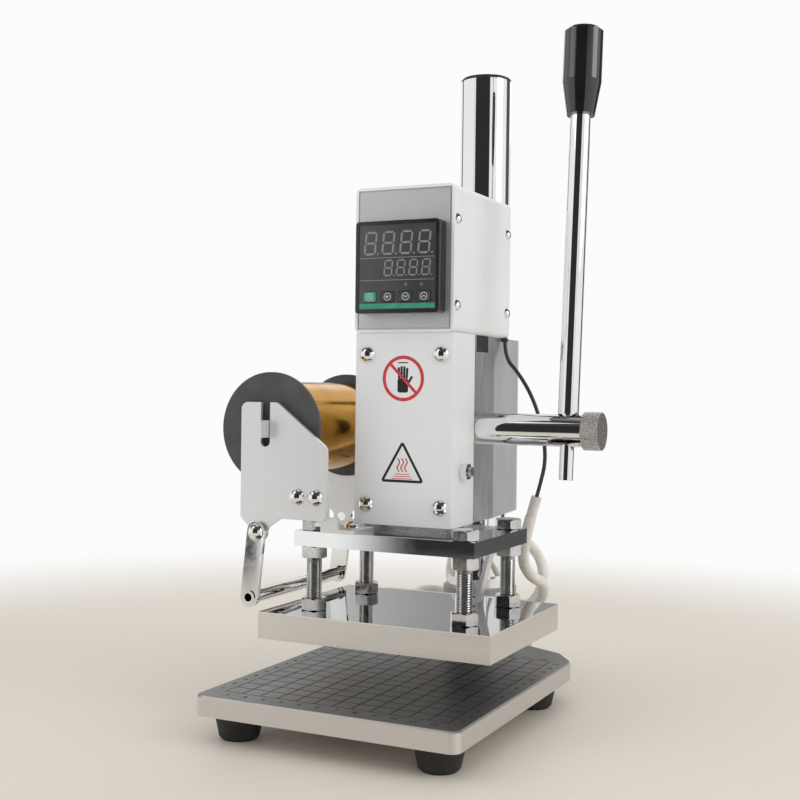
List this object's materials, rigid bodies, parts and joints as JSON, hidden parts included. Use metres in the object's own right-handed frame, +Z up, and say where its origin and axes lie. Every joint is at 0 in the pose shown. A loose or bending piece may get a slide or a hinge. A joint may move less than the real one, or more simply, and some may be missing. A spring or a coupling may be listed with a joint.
{
  "type": "hot foil stamper",
  "caption": "Bench hot foil stamper: a heated plate under a column-mounted head is pressed onto a gridded table by a side lever, with a foil roll at its left.",
  "frame": {"origin": "on the bench under the centre of the rectangular part of the base plate", "axes": "+Z up, +X to the operator's right (the lever side), -Y towards the operator"},
  "size_m": [0.1928, 0.2399, 0.3678],
  "materials": {
    "dark_paint": "satin dark grey paint with a fine printed grid, edges bright",
    "grey_paint": "satin grey paint",
    "pale_paint": "smooth pale grey paint",
    "box_paint": "smooth off-white paint",
    "panel_metal": "satin anodised",
    "aluminium": "satin anodised",
    "plated_aluminium": "polished face, brushed edges",
    "chrome": "polished plating",
    "steel": "machined",
    "satin_steel": "fine satin",
    "brass": "machined",
    "rubber": "matte",
    "black_plastic": "fine grain",
    "controller_plastic": "gloss black",
    "window_plastic": "smoked window",
    "key_plastic": "smooth",
    "rocker_plastic": "gloss black",
    "knob_plastic": "gloss black",
    "flange_plastic": "matte dark grey",
    "board": "solder mask",
    "foil": "metallised gold film",
    "card": "paper board",
    "lead_jacket": "smooth dark jacket",
    "sleeve": "woven pale sleeve"
  },
  "bodies": {
    "stand": {"base_plate": "dark_paint", "feet": "rubber", "foot_screws": "steel", "column": "chrome", "column_socket": "grey_paint", "socket_ring": "chrome", "column_cap": "black_plastic"},
    "head": {"head_body": "aluminium", "clamp_screws": "steel", "side_plug": "black_plastic", "guide_block": "pale_paint", "block_screws": "chrome", "gib_strips": "brass", "gib_screws": "steel", "gib_nuts": "chrome", "shaft_bushes": "brass", "box_shell": "box_paint", "front_panel": "panel_metal", "back_panel": "panel_metal", "box_screws": "chrome", "controller_case": "controller_plastic", "controller_window": "window_plastic", "power_board": "board", "mains_inlet": "black_plastic", "lead_gland": "black_plastic", "controller_lead": "lead_jacket"},
    "lever": {"pinion_shaft": "chrome", "shaft_clip": "steel", "shaft_end_cap": "satin_steel", "lever_rod": "chrome", "lever_knob": "knob_plastic", "pinion": "steel", "pinion_pin": "steel"},
    "ram": {"ram": "steel", "ram_screws": "steel", "adaptor_plate": "chrome", "heating_plate": "plated_aluminium", "heater_cartridges": "satin_steel", "terminal_cover": "satin_steel", "levelling_bolts": "chrome", "levelling_nuts": "chrome", "plate_stay": "satin_steel", "front_side_plate": "satin_steel", "rear_side_plate": "satin_steel", "bracket_angles": "satin_steel", "bracket_screws": "chrome", "pivot_screws": "chrome", "lead_splice": "sleeve", "heater_lead": "sleeve"},
    "spindle": {"spindle": "satin_steel"},
    "roll": {"foil": "foil", "foil_core": "card", "roll_flanges": "flange_plastic"},
    "arms": {"guide_arms": "chrome"},
    "guide": {"guide_tube": "chrome"},
    "key_1": {"key_1": "key_plastic"},
    "key_2": {"key_2": "key_plastic"},
    "key_3": {"key_3": "key_plastic"},
    "key_4": {"key_4": "key_plastic"},
    "rocker": {"rocker": "rocker_plastic"}
  },
  "joints": [
    {"name": "head_height", "type": "slide", "parent": "stand", "child": "head", "axis": [0, 0, 1], "range_m": [0, 0.06]},
    {"name": "ram_slide", "type": "slide", "parent": "head", "child": "ram", "axis": [0, 0, -1], "range_m": [0, 0.017], "deforming": ["controller_lead"]},
    {"name": "lever_turn", "type": "hinge", "parent": "head", "child": "lever", "pos_m": [0, 0.045, 0.152], "axis": [1, 0, 0], "range_deg": [0, 112]},
    {"name": "spindle_lift", "type": "slide", "parent": "ram", "child": "spindle", "axis": [0, 0, 1], "range_m": [-0.0005, 0.03]},
    {"name": "roll_turn", "type": "hinge", "parent": "spindle", "child": "roll", "pos_m": [-0.0668, 0, 0.151], "axis": [0, 1, 0], "continuous": true},
    {"name": "arms_swing", "type": "hinge", "parent": "ram", "child": "arms", "pos_m": [-0.0707, 0, 0.0965], "axis": [0, 1, 0], "range_deg": [-6, 75]},
    {"name": "guide_turn", "type": "hinge", "parent": "arms", "child": "guide", "pos_m": [-0.0745, 0, 0.0617], "axis": [0, 1, 0], "continuous": true},
    {"name": "key_1_press", "type": "slide", "parent": "head", "child": "key_1", "axis": [0, 1, 0], "range_m": [0, 0.0005], "stiffness_N_per_m": 1500, "springref_m": -0.0003},
    {"name": "key_2_press", "type": "slide", "parent": "head", "child": "key_2", "axis": [0, 1, 0], "range_m": [0, 0.0005], "stiffness_N_per_m": 1500, "springref_m": -0.0003},
    {"name": "key_3_press", "type": "slide", "parent": "head", "child": "key_3", "axis": [0, 1, 0], "range_m": [0, 0.0005], "stiffness_N_per_m": 1500, "springref_m": -0.0003},
    {"name": "key_4_press", "type": "slide", "parent": "head", "child": "key_4", "axis": [0, 1, 0], "range_m": [0, 0.0005], "stiffness_N_per_m": 1500, "springref_m": -0.0003},
    {"name": "rocker_tip", "type": "hinge", "parent": "head", "child": "rocker", "pos_m": [0, 0.086, 0.25], "axis": [1, 0, 0], "range_deg": [-14, 0]}
  ],
  "couplings": [
    {"joint": "lever_turn", "follows": "ram_slide", "rad_per_m": 114.29}
  ]
}
